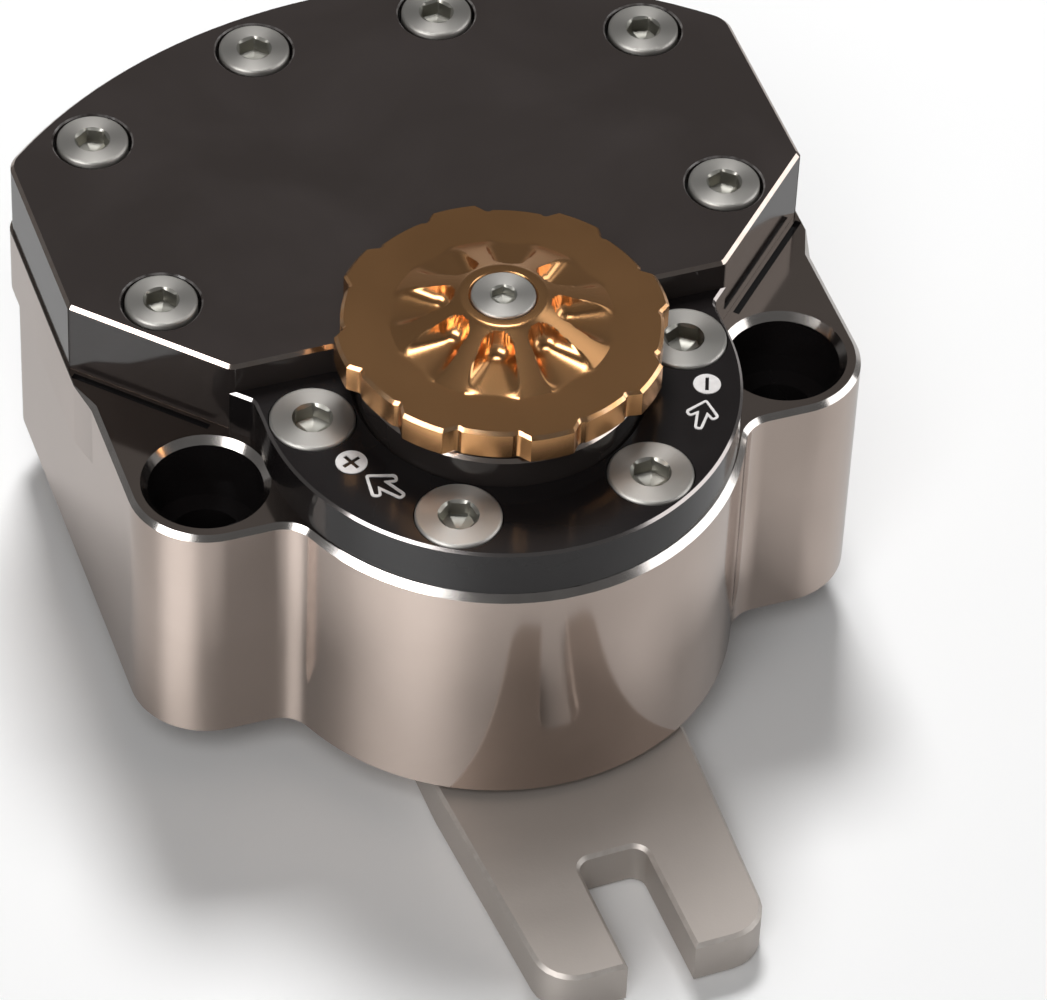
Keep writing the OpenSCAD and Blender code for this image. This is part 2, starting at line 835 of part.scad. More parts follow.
module link_arm() {
    color(arm_metal) rotor_pose() difference() {
        translate([0, 0, z_arm - arm_t]) linear_extrude(arm_t) arm_plan();
        translate([0, 0, z_arm - arm_t - 1]) cylinder(r = arm_seat_r + seat_gap / 2, h = arm_t + 2);
        translate([0, 0, z_arm - arm_t - 1]) cylinder(r = arm_recess_r, h = arm_t + 1 - arm_seat_t);
        translate([-key_w / 2, 0, z_arm - arm_t - 1]) cube([key_w, arm_seat_r + key_w / 2 + seat_gap, arm_t + 2]);
    }
}

module arm_key() {
    color(steel) rotor_pose()
        translate([-key_w / 2 + run_gap, arm_seat_r - key_w / 2 + run_gap, z_arm_seat + run_gap])
            cube([key_w - 2 * run_gap, key_w - run_gap, arm_seat_t - 2 * run_gap]);
}

module arm_washer() {
    color(steel) rotor_pose() translate([0, 0, z_arm_seat - arm_washer_t])
        ring(arm_recess_r - 0.3, arm_bolt_r + hole_gap, arm_washer_t);
}

module arm_screw() {
    color(steel) rotor_pose() translate([0, 0, z_arm_seat - arm_washer_t]) mirror([0, 0, 1])
        socket_screw(arm_bolt_head_r, arm_bolt_head_h, arm_bolt_r, arm_washer_t + arm_bolt_grip, 2.3);
}

module grip_recess() {
    recess_angle = 360 / lands - land_angle;
    difference() {
        intersection() {
            circle(r = knob_r + 5);
            wedge(recess_angle / 2, knob_r + 10);
        }
        circle(r = knob_r - grip_depth);
    }
}

module pocket_plan() {
    translate([0, pocket_r0]) circle(r = pocket_end_r);
    polygon([
        [-pocket_end_r, pocket_r0],
        [pocket_end_r, pocket_r0],
        [pocket_wide, cone_r],
        [-pocket_wide, cone_r]
    ]);
}

module knob() {
    hub_top_r = knob_bolt_head_r + 1.2;
    color(bronze) difference() {
        rotate_extrude() polygon([
            [0, z_knob],
            [knob_r - 0.3, z_knob],
            [knob_r, z_knob + 0.3],
            [knob_r, z_rim - 0.4],
            [knob_r - 0.4, z_rim],
            [cone_r, z_rim],
            [hub_top_r + hub_edge, z_hub - hub_edge / 2],
            [hub_top_r, z_hub],
            [0, z_hub]
        ]);
        for (i = [0:lands - 1]) rotate([0, 0, 180 + land_turn + (i + 0.5) * 360 / lands]) {
            translate([0, 0, z_knob - 1]) linear_extrude(knob_t + cone_h + 2) grip_recess();
            translate([0, 0, z_rim + pocket_floor]) linear_extrude(cone_h) pocket_plan();
        }
        translate([-drive_w / 2 - run_gap, -drive_w / 2 - run_gap, z_knob - 1])
            cube([drive_w + 2 * run_gap, drive_w + 2 * run_gap, drive_h + 1.1]);
        translate([0, 0, z_knob]) cylinder(r = knob_bolt_r + hole_gap, h = knob_t + cone_h + 1);
        translate([0, 0, z_hub - knob_bolt_head_h]) cylinder(r = knob_bolt_head_r + 0.15, h = 3);
        for (i = [0:detents - 1]) rotate([0, 0, i * 360 / detents])
            translate([detent_r, 0, z_knob - plunger_r + detent_dip]) sphere(r = plunger_r);
        stop_slot();
    }
}

// Curved slot in the knob's underside that runs over the stop pin
module stop_slot() {
    half = knob_turn + atan2(stop_pin_r, stop_path_r) + 1.5;
    gap = stop_pin_r + 0.3;
    translate([0, 0, z_knob - 1]) rotate([0, 0, 90 - half]) rotate_extrude(angle = 2 * half)
        translate([stop_path_r - gap, 0]) square([2 * gap, stop_slot_h + 1]);
}

module knob_screw() {
    color(steel) translate([0, 0, z_hub - knob_bolt_head_h])
        socket_screw(knob_bolt_head_r, knob_bolt_head_h + 0.15, knob_bolt_r,
            z_hub - knob_bolt_head_h - knob_bolt_end_z, 1.5);
}

module adjuster_spindle() {
    color(steel) difference() {
        union() {
            translate([0, 0, collar_z]) cylinder(r = collar_r, h = collar_h);
            translate([0, 0, collar_z]) cylinder(r = spindle_r, h = z_knob - collar_z);
            translate([-drive_w / 2, -drive_w / 2, z_knob - 1]) cube([drive_w, drive_w, drive_h + 1]);
        }
        translate([0, 0, collar_z + 0.5]) ring(collar_r + 1, collar_r - 1.1, 1.1);
        translate([0, 0, collar_z - 1]) cylinder(r = needle_hex_r + run_gap, h = hex_h + 1.4, $fn = 6);
        translate([0, 0, knob_bolt_end_z - 0.4]) cylinder(r = knob_bolt_r + thread_gap, h = knob_t + 2);
    }
}

module spindle_seal() {
    color(rubber_black) translate([0, 0, collar_z + 1.05]) rotate_extrude()
        translate([collar_r - 0.5, 0]) circle(r = 0.5);
}

module valve_needle() {
    thread_h = needle_top_z - needle_thread_z;
    color(steel) {
        translate([0, 0, needle_thread_z]) cylinder(r = needle_thread_r, h = thread_h);
        translate([0, 0, needle_top_z - eps]) cylinder(r = needle_hex_r, h = hex_h, $fn = 6);
        translate([0, 0, needle_tip_z + needle_tip_h])
            cylinder(r = needle_stem_r, h = needle_thread_z - needle_tip_z - needle_tip_h + eps);
        translate([0, 0, needle_tip_z])
            cylinder(r1 = needle_tip_r, r2 = needle_stem_r, h = needle_tip_h + eps);
    }
}

housing();
top_cover();
nose_plate();
cover_screws();
plate_screws();
plate_marks();
cover_seal();
dowel_pins();
lower_bush();
upper_bush();
shaft_seal();
seal_circlip();
thrust_washers();
gland_ring();
stop_pin();
detent_plungers();
detent_springs();
fill_screws();
fill_seals();
rotor_shaft();
vane();
vane_key();
vane_seal();
valve_jet();
link_arm();
arm_key();
arm_washer();
arm_screw();
knob();
knob_screw();
adjuster_spindle();
spindle_seal();
valve_needle();
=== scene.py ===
import json
from math import atan2, cos, degrees, hypot, pi, radians, sin, sqrt
import bmesh
import bpy
from mathutils import Matrix, Vector


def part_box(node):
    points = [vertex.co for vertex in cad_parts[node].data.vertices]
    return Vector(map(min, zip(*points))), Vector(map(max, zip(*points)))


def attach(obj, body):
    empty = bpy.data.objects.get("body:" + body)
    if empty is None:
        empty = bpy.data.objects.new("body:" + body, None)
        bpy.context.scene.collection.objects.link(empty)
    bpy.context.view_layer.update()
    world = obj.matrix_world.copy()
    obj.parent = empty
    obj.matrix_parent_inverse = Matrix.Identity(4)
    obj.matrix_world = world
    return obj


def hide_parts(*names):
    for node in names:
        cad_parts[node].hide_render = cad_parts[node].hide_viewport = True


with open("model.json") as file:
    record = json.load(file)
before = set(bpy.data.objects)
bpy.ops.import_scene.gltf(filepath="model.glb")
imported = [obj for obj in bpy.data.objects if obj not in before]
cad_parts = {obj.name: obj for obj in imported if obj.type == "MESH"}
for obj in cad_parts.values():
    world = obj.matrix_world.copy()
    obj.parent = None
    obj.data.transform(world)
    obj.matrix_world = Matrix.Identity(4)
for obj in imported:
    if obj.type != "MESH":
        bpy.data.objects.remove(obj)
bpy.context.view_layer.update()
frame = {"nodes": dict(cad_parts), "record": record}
mm = 0.001
sameLevel = 0.01 * mm                       # heights closer than this count as one
sameFlat = 0.001 * mm                       # the same, where a flat face is picked out
scene = bpy.context.scene
scene.view_settings.view_transform = "Standard"
print("frame loaded:", len(frame["nodes"]), "packed nodes")


def direction(azimuth, elevation):          # unit vector, azimuth from +X towards +Y
    az, el = radians(azimuth), radians(elevation)
    return Vector((cos(az) * cos(el), sin(az) * cos(el), sin(el)))


# Camera: a long lens a little over 0.7 m away, in front and a little to the left, looking down
camera = {"azimuth": -110.92, "elevation": 45.8, "roll": 2.83, "distance": 0.7344,
          "target": (0.00302, -0.00171, 0.020), "lens": 214.35, "sensor": 36.0}


def addCamera(c):
    back = direction(c["azimuth"], c["elevation"])
    side = Vector((0, 0, 1)).cross(back).normalized()
    top = back.cross(side)
    roll = radians(c["roll"])
    xAxis = side * cos(roll) + top * sin(roll)
    yAxis = top * cos(roll) - side * sin(roll)
    data = bpy.data.cameras.new("camera")
    data.sensor_fit = "HORIZONTAL"
    data.sensor_width = c["sensor"]
    data.lens = c["lens"]
    data.clip_start = 0.05
    data.clip_end = 20
    obj = bpy.data.objects.new("camera", data)
    place = Matrix((xAxis, yAxis, back)).transposed().to_4x4()
    place.translation = Vector(c["target"]) + back * c["distance"]
    obj.matrix_world = place
    scene.collection.objects.link(obj)
    scene.camera = obj


addCamera(camera)


# Studio: two lamps for matt surfaces, four that only give sheen, a dark ceiling and a pale sheet
studio = {
    "aim": (0, 0, 0.02),
    "lamps": [
        {"name": "key", "azimuth": 77, "elevation": 58, "distance": 1.0,
         "size": (0.28, 0.28), "glow": 33.5, "sheen": False},
        {"name": "front", "azimuth": -120, "elevation": 50, "distance": 1.0,
         "size": (0.50, 0.50), "glow": 3.9, "sheen": False},
        {"name": "top", "azimuth": 72, "elevation": 76, "distance": 1.0,
         "size": (0.34, 0.24), "glow": 9.0, "matt": False},
        {"name": "topRight", "azimuth": 12, "elevation": 46, "distance": 1.0,
         "size": (0.40, 0.24), "glow": 0.9, "matt": False},
        {"name": "left", "azimuth": -149, "elevation": 31, "distance": 0.8,
         "size": (0.62, 0.30), "glow": 7.2, "matt": False},
        {"name": "right", "azimuth": -20, "elevation": 22, "distance": 0.8,
         "size": (0.75, 0.34), "glow": 2.1, "matt": False},
    ],
    "sky": [(0.0, 0.22), (0.35, 0.115), (0.74, 0.110), (0.93, 0.045)],
    "fill": 0.12,
    "backdrop": (0.97, 0.97, 0.97),
}
sheet = {"size": 3.0, "z": -0.0073, "seen": (0.96, 0.96, 0.96), "lit": 0.54, "gloss": 0.25, "rough": 0.36}


def addLamp(l, aim):
    data = bpy.data.lights.new(l["name"], "AREA")
    data.shape = "RECTANGLE"
    data.size, data.size_y = l["size"]
    data.energy = l["glow"] * pi * l["size"][0] * l["size"][1]
    obj = bpy.data.objects.new(l["name"], data)
    away = direction(l["azimuth"], l["elevation"])
    obj.location = Vector(aim) + away * l["distance"]
    obj.rotation_euler = (-away).to_track_quat("-Z", "Y").to_euler()
    obj.visible_diffuse = l.get("matt", True)
    obj.visible_glossy = l.get("sheen", True)
    scene.collection.objects.link(obj)


def newNode(tree, kind, place, **values):
    node = tree.nodes.new(kind)
    node.location = place
    for key, value in values.items():
        setattr(node, key, value)
    return node


def grey(level):
    return (level, level, level, 1)


def addWorld(s):
    world = bpy.data.worlds.new("studio")
    scene.world = world
    world.use_nodes = True
    tree = world.node_tree
    tree.nodes.clear()
    link = tree.links.new
    coords = newNode(tree, "ShaderNodeTexCoord", (-900, 0))
    split = newNode(tree, "ShaderNodeSeparateXYZ", (-700, 0))
    ramp = newNode(tree, "ShaderNodeValToRGB", (-500, 0))
    stops = ramp.color_ramp.elements
    stops.remove(stops[0])
    stops[0].position, stops[0].color = s["sky"][0][0], grey(s["sky"][0][1])
    for height, level in s["sky"][1:]:
        stops.new(height).color = grey(level)
    path = newNode(tree, "ShaderNodeLightPath", (-500, 320))
    shiny = newNode(tree, "ShaderNodeBackground", (-200, 0))
    soft = newNode(tree, "ShaderNodeBackground", (-200, -160))
    soft.inputs["Color"].default_value = grey(s["fill"])
    seen = newNode(tree, "ShaderNodeBackground", (-200, 160))
    seen.inputs["Color"].default_value = s["backdrop"] + (1,)
    mixShiny = newNode(tree, "ShaderNodeMixShader", (0, 0))
    mixSeen = newNode(tree, "ShaderNodeMixShader", (200, 100))
    out = newNode(tree, "ShaderNodeOutputWorld", (400, 100))
    link(coords.outputs["Generated"], split.inputs[0])
    link(split.outputs["Z"], ramp.inputs[0])
    link(ramp.outputs[0], shiny.inputs["Color"])
    link(path.outputs["Is Glossy Ray"], mixShiny.inputs[0])
    link(soft.outputs[0], mixShiny.inputs[1])
    link(shiny.outputs[0], mixShiny.inputs[2])
    link(path.outputs["Is Camera Ray"], mixSeen.inputs[0])
    link(mixShiny.outputs[0], mixSeen.inputs[1])
    link(seen.outputs[0], mixSeen.inputs[2])
    link(mixSeen.outputs[0], out.inputs[0])


def addSheet(s):                            # matt to the eye, with a soft sheen in what the metal mirrors
    bm = bmesh.new()
    bmesh.ops.create_grid(bm, x_segments=1, y_segments=1, size=s["size"] / 2,
                          matrix=Matrix.Translation((0, 0, s["z"])))
    mesh = bpy.data.meshes.new("sheet")
    bm.to_mesh(mesh)
    bm.free()
    obj = bpy.data.objects.new("sheet", mesh)
    scene.collection.objects.link(obj)
    material = bpy.data.materials.new("paleSheet")
    material.use_nodes = True
    tree = material.node_tree
    tree.nodes.clear()
    link = tree.links.new
    seen = newNode(tree, "ShaderNodeBsdfDiffuse", (-400, 150))
    seen.inputs["Color"].default_value = s["seen"] + (1,)
    matt = newNode(tree, "ShaderNodeBsdfDiffuse", (-400, 0))
    matt.inputs["Color"].default_value = grey(s["lit"])
    gloss = newNode(tree, "ShaderNodeBsdfAnisotropic", (-400, -150))
    gloss.inputs["Color"].default_value = grey(s["gloss"])
    gloss.inputs["Roughness"].default_value = s["rough"]
    both = newNode(tree, "ShaderNodeAddShader", (-200, -80))
    path = newNode(tree, "ShaderNodeLightPath", (-200, 300))
    pick = newNode(tree, "ShaderNodeMixShader", (0, 0))
    out = newNode(tree, "ShaderNodeOutputMaterial", (200, 0))
    link(matt.outputs[0], both.inputs[0])
    link(gloss.outputs[0], both.inputs[1])
    link(path.outputs["Is Camera Ray"], pick.inputs[0])
    link(both.outputs[0], pick.inputs[1])
    link(seen.outputs[0], pick.inputs[2])
    link(pick.outputs[0], out.inputs[0])
    mesh.materials.append(material)


for lamp in studio["lamps"]:
    addLamp(lamp, studio["aim"])
addWorld(studio)
addSheet(sheet)
print("camera, lamps and sheet placed")


# Shared effects
def newGroup(name, inputs, outputs):
    tree = bpy.data.node_groups.new(name, "ShaderNodeTree")
    for title, value in inputs.items():
        socket = tree.interface.new_socket(name=title, in_out="INPUT", socket_type="NodeSocketFloat")
        socket.default_value = value
    for title in outputs:
        tree.interface.new_socket(name=title, in_out="OUTPUT", socket_type="NodeSocketFloat")
    return tree, newNode(tree, "NodeGroupInput", (-800, 0)), newNode(tree, "NodeGroupOutput", (600, 0))


def makeGrain():                            # fine blasted or milled grain, even all over the metal
    tree, ins, outs = newGroup("fineGrain", {"Scale": 3000.0, "Detail": 3.0}, ["Grain"])
    coords = newNode(tree, "ShaderNodeTexCoord", (-600, 100))
    noise = newNode(tree, "ShaderNodeTexNoise", (-300, 0))
    tree.links.new(coords.outputs["Object"], noise.inputs["Vector"])
    tree.links.new(ins.outputs["Scale"], noise.inputs["Scale"])
    tree.links.new(ins.outputs["Detail"], noise.inputs["Detail"])
    tree.links.new(noise.outputs["Fac"], outs.inputs["Grain"])
    return tree


def makeHandling():                         # soft clouds where a surface was handled and wiped
    tree, ins, outs = newGroup("handling", {"Scale": 45.0, "From": 0.40, "To": 0.66}, ["Cloud"])
    coords = newNode(tree, "ShaderNodeTexCoord", (-600, 100))
    noise = newNode(tree, "ShaderNodeTexNoise", (-300, 0))
    noise.inputs["Detail"].default_value = 5
    noise.inputs["Distortion"].default_value = 0.4
    spread = newNode(tree, "ShaderNodeMapRange", (0, 0))
    tree.links.new(coords.outputs["Object"], noise.inputs["Vector"])
    tree.links.new(ins.outputs["Scale"], noise.inputs["Scale"])
    tree.links.new(noise.outputs["Fac"], spread.inputs["Value"])
    tree.links.new(ins.outputs["From"], spread.inputs["From Min"])
    tree.links.new(ins.outputs["To"], spread.inputs["From Max"])
    tree.links.new(spread.outputs["Result"], outs.inputs["Cloud"])
    return tree


def makeWear():                             # bare metal along the broken edges, in uneven spots
    tree, ins, outs = newGroup("edgeWear", {"Scale": 700.0, "Amount": 0.5}, ["Wear"])
    edge = newNode(tree, "ShaderNodeAttribute", (-600, 200), attribute_name="edge")
    coords = newNode(tree, "ShaderNodeTexCoord", (-600, -100))
    noise = newNode(tree, "ShaderNodeTexNoise", (-400, -100))
    noise.inputs["Detail"].default_value = 4
    spots = newNode(tree, "ShaderNodeMapRange", (-200, -100))
    spots.inputs["From Min"].default_value = 0.35
    spots.inputs["From Max"].default_value = 0.70
    times = newNode(tree, "ShaderNodeMath", (0, 100), operation="MULTIPLY")
    scaled = newNode(tree, "ShaderNodeMath", (200, 100), operation="MULTIPLY")
    tree.links.new(coords.outputs["Object"], noise.inputs["Vector"])
    tree.links.new(ins.outputs["Scale"], noise.inputs["Scale"])
    tree.links.new(noise.outputs["Fac"], spots.inputs["Value"])
    tree.links.new(edge.outputs["Fac"], times.inputs[0])
    tree.links.new(spots.outputs["Result"], times.inputs[1])
    tree.links.new(times.outputs[0], scaled.inputs[0])
    tree.links.new(ins.outputs["Amount"], scaled.inputs[1])
    tree.links.new(scaled.outputs[0], outs.inputs["Wear"])
    return tree


def makeTurning():                          # rings left by the lathe, read from the piece's own UV map
    tree, ins, outs = newGroup("turning", {"Rings": 9.0}, ["Ring"])
    uv = newNode(tree, "ShaderNodeUVMap", (-700, 100), uv_map="turned")
    split = newNode(tree, "ShaderNodeSeparateXYZ", (-500, 100))
    scaled = newNode(tree, "ShaderNodeMath", (-300, 100), operation="MULTIPLY")
    noise = newNode(tree, "ShaderNodeTexNoise", (-100, 0), noise_dimensions="1D")
    noise.inputs["Scale"].default_value = 1
    noise.inputs["Detail"].default_value = 4
    tree.links.new(uv.outputs["UV"], split.inputs[0])
    tree.links.new(split.outputs["X"], scaled.inputs[0])
    tree.links.new(ins.outputs["Rings"], scaled.inputs[1])
    tree.links.new(scaled.outputs[0], noise.inputs["W"])
    tree.links.new(noise.outputs["Fac"], outs.inputs["Ring"])
    return tree


groups = {"grain": makeGrain(), "handling": makeHandling(), "wear": makeWear(), "turning": makeTurning()}


# Finishes
def placeGroup(tree, kind, place, **values):
    node = newNode(tree, "ShaderNodeGroup", place)
    node.node_tree = groups[kind]
    for title, value in values.items():
        node.inputs[title].default_value = value
    return node


def shades(tree, place, factor, dark, light):           # blend of two colours by a mask
    mix = newNode(tree, "ShaderNodeMix", place, data_type="RGBA")
    mix.inputs[6].default_value = dark + (1,)
    mix.inputs[7].default_value = light + (1,)
    tree.links.new(factor, mix.inputs[0])
    return mix.outputs[2]


def spread(tree, place, factor, low, high):             # mask brought into a range of numbers
    node = newNode(tree, "ShaderNodeMapRange", place)
    node.inputs["To Min"].default_value = low
    node.inputs["To Max"].default_value = high
    tree.links.new(factor, node.inputs["Value"])
    return node.outputs["Result"]


grainDepth = 0.02 * mm


def metalFinish(name, f):
    material = bpy.data.materials.new(name)
    material.use_nodes = True
    tree = material.node_tree
    link = tree.links.new
    shader = tree.nodes["Principled BSDF"]
    shader.inputs["Metallic"].default_value = f.get("metallic", 1.0)
    shader.inputs["IOR"].default_value = f.get("ior", 1.5)
    grain = placeGroup(tree, "grain", (-1000, -300), Scale=f["grain"])
    cloud = placeGroup(tree, "handling", (-1000, 0), Scale=f.get("clouds", 45.0))
    colour = shades(tree, (-600, 100), cloud.outputs["Cloud"], f["dark"], f["light"])
    if "bare" in f:
        wear = placeGroup(tree, "wear", (-1000, 250), Amount=f.get("wear", 0.5))
        mix = newNode(tree, "ShaderNodeMix", (-350, 200), data_type="RGBA")
        mix.inputs[7].default_value = f["bare"] + (1,)
        link(wear.outputs["Wear"], mix.inputs[0])
        link(colour, mix.inputs[6])
        colour = mix.outputs[2]
    link(colour, shader.inputs["Base Color"])
    source = grain.outputs["Grain"]
    if "rings" in f:
        turned = placeGroup(tree, "turning", (-1000, -550), Rings=f["rings"])
        tangent = newNode(tree, "ShaderNodeTangent", (-350, -600), direction_type="UV_MAP", uv_map="turned")
        shader.inputs["Anisotropic"].default_value = f["stretch"]
        link(tangent.outputs[0], shader.inputs["Tangent"])
        source = turned.outputs["Ring"]
    rough = spread(tree, (-600, -150), cloud.outputs["Cloud"], f["rough"][0], f["rough"][1])
    link(rough, shader.inputs["Roughness"])
    bump = newNode(tree, "ShaderNodeBump", (-350, -350))
    bump.inputs["Strength"].default_value = f["bump"]
    bump.inputs["Distance"].default_value = grainDepth
    link(source, bump.inputs["Height"])
    link(bump.outputs["Normal"], shader.inputs["Normal"])
    return material


finishes = {
    "greyAnodised": {"dark": (0.50, 0.415, 0.365), "light": (0.54, 0.450, 0.400), "rough": (0.10, 0.12),
                     "grain": 5000.0, "bump": 0.05, "bare": (0.60, 0.57, 0.54), "wear": 0.35},
    # painted shade: the cover is the same grey anodised metal as the housing, and this near-black colour
    # stands in for the dark surroundings it mirrors
    "paintedShadeAnodised": {"dark": (0.033, 0.027, 0.025), "light": (0.041, 0.034, 0.032), "rough": (0.10, 0.12),
                     "grain": 5000.0, "bump": 0.05, "bare": (0.42, 0.40, 0.39), "wear": 0.45,
                     "metallic": 0.0, "ior": 1.45},
    # painted highlight: a lighter metal copy of the black plate's finish, put on its top chamfer
    "paintedHighlightPlateEdge": {"dark": (0.34, 0.31, 0.30), "light": (0.40, 0.37, 0.36), "rough": (0.12, 0.15),
                   "grain": 5000.0, "bump": 0.05},
    # painted highlight: a lighter copy of the grey anodised metal, put on the housing's rim chamfer and the
    # seats' rims
    "paintedHighlightEdge": {"dark": (0.62, 0.58, 0.55), "light": (0.72, 0.68, 0.65), "rough": (0.12, 0.16),
                   "grain": 5000.0, "bump": 0.05, "clouds": 160.0},
    # the nose plate's own black anodised colour; in the housing it is painted shade inside the seats and
    # drain grooves
    "blackAnodisedAndShade": {"dark": (0.012, 0.010, 0.010), "light": (0.020, 0.018, 0.018), "rough": (0.12, 0.15),
                      "grain": 5000.0, "bump": 0.05, "bare": (0.10, 0.10, 0.10), "wear": 0.35,
                      "metallic": 0.0, "ior": 1.46},
    "bronzeAnodised": {"dark": (0.77, 0.405, 0.175), "light": (0.84, 0.445, 0.195), "rough": (0.225, 0.245),
                       "grain": 5000.0, "bump": 0.05, "bare": (0.85, 0.66, 0.48), "wear": 0.45},
    "satinArm": {"dark": (0.53, 0.48, 0.44), "light": (0.57, 0.515, 0.475), "rough": (0.42, 0.47),
                 "grain": 3500.0, "bump": 0.55, "bare": (0.70, 0.66, 0.62), "wear": 0.5, "metallic": 0.4},
    "turnedSteel": {"dark": (0.62, 0.60, 0.565), "light": (0.67, 0.645, 0.61), "rough": (0.50, 0.54),
                    "grain": 3000.0, "bump": 0.12, "rings": 9.0, "stretch": 0.6},
    # painted shade: a darker copy of the screw steel, used inside the sockets
    "paintedShadeSocketSteel": {"dark": (0.42, 0.41, 0.37), "light": (0.50, 0.49, 0.45), "rough": (0.36, 0.42),
                    "grain": 3000.0, "bump": 0.10},
    "plainSteel": {"dark": (0.55, 0.54, 0.52), "light": (0.62, 0.61, 0.59), "rough": (0.26, 0.34),
                   "grain": 3000.0, "bump": 0.10},
    "bearingBronze": {"dark": (0.56, 0.39, 0.19), "light": (0.62, 0.45, 0.22), "rough": (0.28, 0.38),
                      "grain": 3000.0, "bump": 0.2},
    "blackRubber": {"dark": (0.025, 0.025, 0.025), "light": (0.035, 0.035, 0.035), "rough": (0.55, 0.70),
                    "grain": 2500.0, "bump": 0.3, "metallic": 0.0},
    "paleSeal": {"dark": (0.74, 0.73, 0.70), "light": (0.80, 0.79, 0.76), "rough": (0.45, 0.55),
                 "grain": 2500.0, "bump": 0.2, "metallic": 0.0},
    "whiteInfill": {"dark": (0.72, 0.70, 0.69), "light": (0.82, 0.80, 0.79), "rough": (0.45, 0.60),
                    "grain": 6000.0, "bump": 0.3, "metallic": 0.0, "clouds": 900.0},
}
metals = {name: metalFinish(name, f) for name, f in finishes.items()}

slotFinish = {
    "anodised_grey": "greyAnodised", "anodised_dark": "paintedShadeAnodised", "anodised_black": "blackAnodisedAndShade",
    "knob_bronze": "bronzeAnodised", "arm_metal": "satinArm", "stainless": "plainSteel",
    "bearing_bronze": "bearingBronze", "seal_rubber": "blackRubber", "seal_plastic": "paleSeal",
    "mark_paint": "whiteInfill",
}
for part in frame["record"]["subparts"]:
    obj = frame["nodes"][part["node"]]
    for i in range(len(obj.data.materials)):
        obj.data.materials[i] = metals[slotFinish[part["material_slot"]]]
print("made", len(metals), "finishes")


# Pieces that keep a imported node's shape, with its edges broken
merge = {"distance": 0.002 * mm, "flatAngle": 0.05, "sharpAngle": 30}


def solidFrom(node):
    bm = bmesh.new()
    bm.from_mesh(frame["nodes"][node].data)
    bmesh.ops.remove_doubles(bm, verts=bm.verts, dist=merge["distance"])
    bmesh.ops.dissolve_limit(bm, angle_limit=radians(merge["flatAngle"]), verts=bm.verts, edges=bm.edges)
    bm.faces.layers.float.new("edge")
    return bm


def loopBox(loop):                          # middle and width of a ring of edges
    xs = [v.co.x for e in loop for v in e.verts]
    ys = [v.co.y for e in loop for v in e.verts]
    return (min(xs) + max(xs)) / 2, (min(ys) + max(ys)) / 2, max(xs) - min(xs)


def flatLoops(bm, z):                       # rings of sharp edges that lie at one height, widest first
    left = {e for e in bm.edges if e.is_manifold and e.calc_face_angle(0) > radians(merge["sharpAngle"])
            and all(abs(v.co.z - z) < sameLevel for v in e.verts)}
    loops = []
    while left:
        front = [left.pop()]
        loop = []
        while front:
            e = front.pop()
            loop.append(e)
            for n in [n for v in e.verts for n in v.link_edges]:
                if n in left:
                    left.remove(n)
                    front.append(n)
        loops.append(loop)
    return sorted(loops, key=lambda loop: -loopBox(loop)[2])


def breakEdges(bm, edges, width):
    made = bmesh.ops.bevel(bm, geom=edges, offset=width, offset_type="OFFSET", segments=1, profile=0.5,
                           affect="EDGES", material=-1, clamp_overlap=True, loop_slide=False)
    layer = bm.faces.layers.float["edge"]
    for face in made["faces"]:
        face[layer] = 1.0
    return made["faces"]


def widenEdge(faces, high, width):          # a narrow chamfer round a top gets the width asked at each place
    low = {v for f in faces for v in f.verts if v.co.z < high - sameLevel}
    moves = []
    for v in low:
        sides = [e.other_vert(v).co.to_2d() for e in v.link_edges if e.other_vert(v) in low]
        above = [e.other_vert(v) for e in v.link_edges if abs(e.other_vert(v).co.z - high) < sameFlat]
        if len(sides) != 2 or len(above) != 1:
            continue
        here = v.co.to_2d()
        along = [(here - sides[0]).normalized(), (sides[1] - here).normalized()]
        inner = [Vector((-a.y, a.x)) for a in along]
        middle = (inner[0] + inner[1]) / (1 + inner[0].dot(inner[1]))
        if middle.dot(above[0].co.to_2d() - here) < 0:
            middle = -middle
        drop = max(width(here), high - v.co.z)
        moves.append((v, above[0], here + middle * drop, drop))
    for v, top, place, drop in moves:
        top.co.x, top.co.y = place
        v.co.z = high - drop


def refill(bm, z, up):                      # the flat face at one height is filled again, clear of its holes
    flat = {f for f in bm.faces if all(abs(v.co.z - z) < sameFlat for v in f.verts)}
    rim = [e for e in {e for f in flat for e in f.edges} if sum(f in flat for f in e.link_faces) == 1]
    bmesh.ops.delete(bm, geom=list(flat), context="FACES")
    bmesh.ops.triangle_fill(bm, use_beauty=True, use_dissolve=False, edges=rim, normal=(0, 0, up))
    bmesh.ops.recalc_face_normals(bm, faces=bm.faces)


def addPiece(name, bm, finish, body, replaced, sharp=28):
    mesh = bpy.data.meshes.new(name)
    bm.normal_update()
    for face in bm.faces:
        face.smooth = True
    for e in bm.edges:
        e.smooth = e.calc_face_angle(pi) < radians(sharp)
    bm.to_mesh(mesh)
    bm.free()
    mesh.materials.append(metals[finish])
    obj = bpy.data.objects.new(name, mesh)
    scene.collection.objects.link(obj)
    even = obj.modifiers.new("evenNormals", "WEIGHTED_NORMAL")
    even.keep_sharp = True
    even.weight = 100
    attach(obj, body)
    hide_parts(*replaced)
    print("made", name, len(mesh.polygons), "faces")
    return obj


